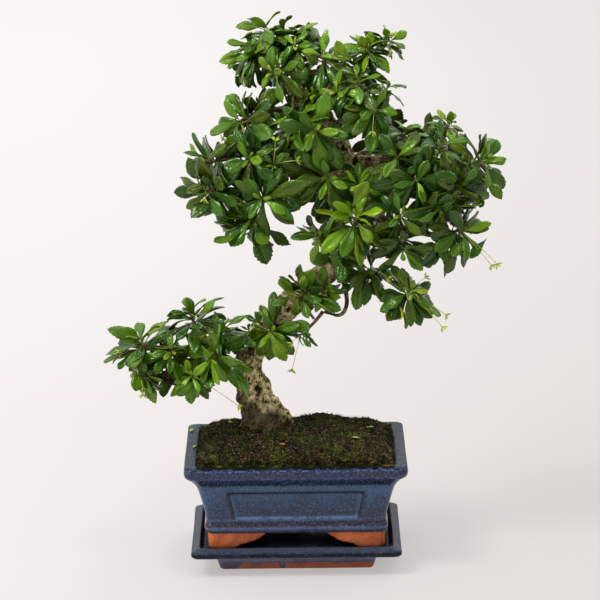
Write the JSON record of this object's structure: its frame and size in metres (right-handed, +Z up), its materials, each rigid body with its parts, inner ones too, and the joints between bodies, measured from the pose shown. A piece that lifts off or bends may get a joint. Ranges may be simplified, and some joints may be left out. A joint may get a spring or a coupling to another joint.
{
  "type": "fukien tea bonsai",
  "caption": "Fukien tea bonsai with an S-curved trunk and leafy pads of glossy spoon-shaped leaves, in a blue glazed rectangular pot with bracket feet on its saucer.",
  "frame": {"origin": "centre of the saucer's flat underside, on the surface that it stands on", "axes": "+Z up along the plant's height, +X along the pot's long side to the right seen from the front, -Y towards the front, where the low left branch points to -X"},
  "size_m": [0.3604, 0.172, 0.4983],
  "materials": {
    "blue_glaze": "gloss, speckled slate blue that breaks to cobalt, lilac and brown along the edges",
    "bare_clay": "matte, unglazed orange clay",
    "screen_plastic": "matte",
    "mossy_soil": "matte dark crumbly soil with olive moss",
    "bark": "matte rough grey-brown bark with pale patches",
    "leaf": "satin to gloss, dark green old leaves and yellow-green young ones"
  },
  "bodies": {
    "root": {"saucer": "blue_glaze", "pot": "blue_glaze", "drainage_screen_left": "screen_plastic", "drainage_screen_right": "screen_plastic", "soil": "mossy_soil", "trunk": "bark", "low_left_shoot_1": "leaf", "low_left_shoot_2": "leaf", "low_left_shoot_3": "leaf", "low_left_shoot_4": "leaf", "low_left_shoot_5": "leaf", "low_left_shoot_6": "leaf", "low_left_shoot_7": "leaf", "low_left_shoot_8": "leaf", "low_left_shoot_9": "leaf", "middle_shoot_1": "leaf", "middle_shoot_2": "leaf", "middle_shoot_3": "leaf", "middle_shoot_4": "leaf", "middle_shoot_5": "leaf", "middle_shoot_6": "leaf", "middle_shoot_7": "leaf", "left_shoot_1": "leaf", "left_shoot_2": "leaf", "left_shoot_3": "leaf", "left_shoot_4": "leaf", "left_shoot_5": "leaf", "left_shoot_6": "leaf", "left_shoot_7": "leaf", "top_shoot_1": "leaf", "top_shoot_2": "leaf", "top_shoot_3": "leaf", "top_shoot_4": "leaf", "top_shoot_5": "leaf", "top_shoot_6": "leaf", "top_shoot_7": "leaf", "top_shoot_8": "leaf", "upper_right_shoot_1": "leaf", "upper_right_shoot_2": "leaf", "upper_right_shoot_3": "leaf", "upper_right_shoot_4": "leaf", "upper_right_shoot_5": "leaf", "right_shoot_1": "leaf", "right_shoot_2": "leaf", "right_shoot_3": "leaf", "right_shoot_4": "leaf", "right_shoot_5": "leaf", "right_shoot_6": "leaf", "right_shoot_7": "leaf", "right_shoot_8": "leaf", "right_shoot_9": "leaf", "back_shoot_1": "leaf", "back_shoot_2": "leaf", "back_shoot_3": "leaf", "back_shoot_4": "leaf", "back_shoot_5": "leaf", "back_shoot_6": "leaf", "back_shoot_7": "leaf", "back_shoot_8": "leaf", "back_shoot_9": "leaf"}
  },
  "joints": []
}
